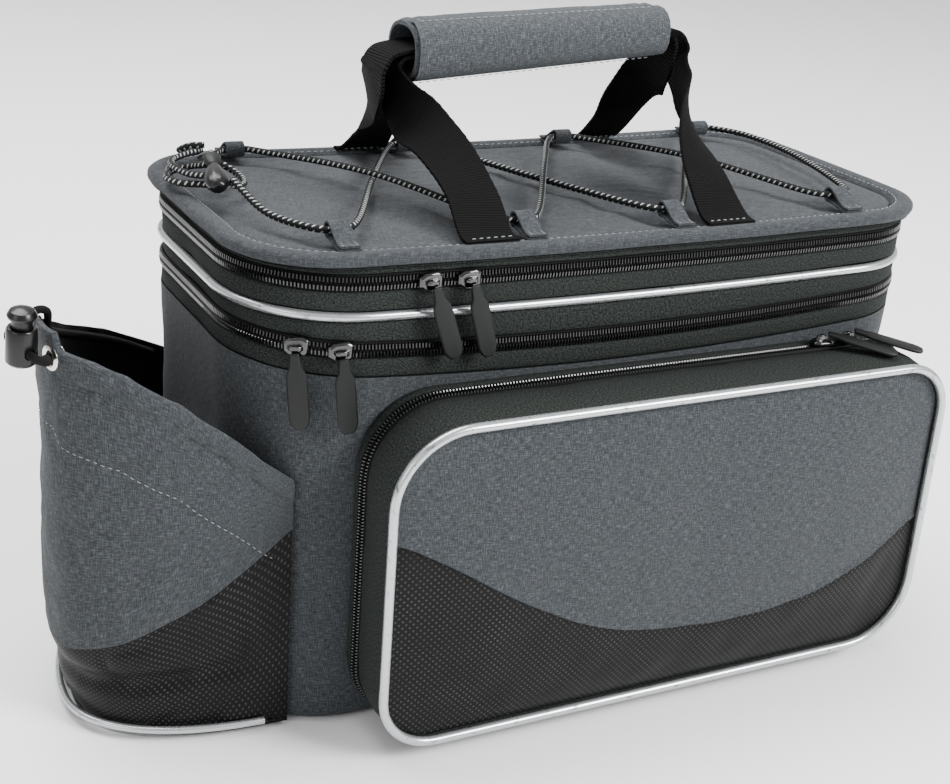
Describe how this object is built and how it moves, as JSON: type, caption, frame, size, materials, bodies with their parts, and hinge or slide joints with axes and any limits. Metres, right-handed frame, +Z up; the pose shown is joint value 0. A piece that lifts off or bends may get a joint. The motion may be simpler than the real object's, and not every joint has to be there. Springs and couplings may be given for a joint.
{
  "type": "bicycle trunk bag",
  "caption": "Boxy padded rack-top bicycle bag with laced lid, carrying handle, zipped side pocket and open bottle pocket on the left end.",
  "frame": {"origin": "on the floor under the middle of the main body, level with the bag's flat underside", "axes": "+X along the bag away from the bottle pocket, -Y out of the side pocket's front, +Z up"},
  "size_m": [0.433, 0.2194, 0.2998],
  "materials": {
    "black_coated_cloth": "coated dot weave",
    "black_lacquered_metal": "glossy black",
    "black_lock_plastic": "satin black",
    "black_webbing": "ribbed webbing",
    "bungee_sheath": "braided with pale flecks",
    "dark_band_cloth": "matt woven",
    "grey_melange_cloth": "matt woven melange",
    "nickel_eyelet": "polished nickel",
    "pull_tab_rubber": "matt",
    "silver_piping": "reflective foil",
    "zip_coil": "moulded coil"
  },
  "bodies": {
    "bag": {"band_piping": "silver_piping", "barrel_lock": "black_lock_plastic", "bottle_pocket_base": "black_coated_cloth", "bottle_pocket_foot": "black_coated_cloth", "bottle_pocket_piping": "silver_piping", "bottle_pocket_wall": "grey_melange_cloth", "bungee_cord": "bungee_sheath", "expansion_left_slider": "black_lacquered_metal", "expansion_right_slider": "black_lacquered_metal", "expansion_zip": "zip_coil", "eyelet": "nickel_eyelet", "front_tab_1": "grey_melange_cloth", "front_tab_2": "grey_melange_cloth", "front_tab_3": "grey_melange_cloth", "front_tab_4": "grey_melange_cloth", "handle_wrap": "grey_melange_cloth", "hem_cord": "black_webbing", "inner_webbing": "black_webbing", "lacing_lock": "black_lock_plastic", "lacing_lock_button": "pull_tab_rubber", "lid_band": "dark_band_cloth", "lid_left_slider": "black_lacquered_metal", "lid_panel": "grey_melange_cloth", "lid_right_slider": "black_lacquered_metal", "lid_rim": "grey_melange_cloth", "lid_zip": "zip_coil", "lower_band": "dark_band_cloth", "main_body": "grey_melange_cloth", "middle_band": "dark_band_cloth", "outer_webbing": "black_webbing", "pocket_back_gusset": "dark_band_cloth", "pocket_front_gusset": "dark_band_cloth", "pocket_left_slider": "black_lacquered_metal", "pocket_lower_panel": "black_coated_cloth", "pocket_piping": "silver_piping", "pocket_right_slider": "black_lacquered_metal", "pocket_upper_panel": "grey_melange_cloth", "pocket_zip": "zip_coil", "rear_tab_1": "grey_melange_cloth", "rear_tab_2": "grey_melange_cloth", "rear_tab_3": "grey_melange_cloth", "rear_tab_4": "grey_melange_cloth", "upper_band": "dark_band_cloth"},
    "expansion_left_tab": {"expansion_left_pull": "pull_tab_rubber"},
    "expansion_right_tab": {"expansion_right_pull": "pull_tab_rubber"},
    "lid_left_tab": {"lid_left_pull": "pull_tab_rubber"},
    "lid_right_tab": {"lid_right_pull": "pull_tab_rubber"},
    "pocket_left_tab": {"pocket_left_pull": "pull_tab_rubber"},
    "pocket_right_tab": {"pocket_right_pull": "pull_tab_rubber"},
    "lock_button": {"barrel_lock_button": "black_lock_plastic"}
  },
  "joints": [
    {"name": "expansion_left_pull_hinge", "type": "hinge", "parent": "bag", "child": "expansion_left_tab", "pos_m": [-0.15308, -0.08155, 0.17677], "axis": [-0.8861, 0.4515, -0.1045], "range_deg": [0, 150]},
    {"name": "expansion_right_pull_hinge", "type": "hinge", "parent": "bag", "child": "expansion_right_tab", "pos_m": [-0.13511, -0.08946, 0.17544], "axis": [-0.9823, 0.1556, -0.1045], "range_deg": [0, 150]},
    {"name": "lid_left_pull_hinge", "type": "hinge", "parent": "bag", "child": "lid_left_tab", "pos_m": [-0.09671, -0.0916, 0.20267], "axis": [-0.9455, 0, -0.3256], "range_deg": [0, 150]},
    {"name": "lid_right_pull_hinge", "type": "hinge", "parent": "bag", "child": "lid_right_tab", "pos_m": [-0.07933, -0.0916, 0.20235], "axis": [-0.9613, 0, -0.2756], "range_deg": [0, 150]},
    {"name": "pocket_left_pull_hinge", "type": "hinge", "parent": "bag", "child": "pocket_left_tab", "pos_m": [0.10671, -0.09521, 0.16381], "axis": [-0.6118, -0.7911, 0], "range_deg": [0, 95]},
    {"name": "pocket_right_pull_hinge", "type": "hinge", "parent": "bag", "child": "pocket_right_tab", "pos_m": [0.12221, -0.09521, 0.16381], "axis": [-0.6118, -0.7911, 0], "range_deg": [0, 95]},
    {"name": "barrel_button_press", "type": "slide", "parent": "bag", "child": "lock_button", "axis": [0.02, -0.1302, 0.9913], "range_m": [-0.003, 0], "stiffness_N_per_m": 500, "springref_m": 0.002}
  ]
}
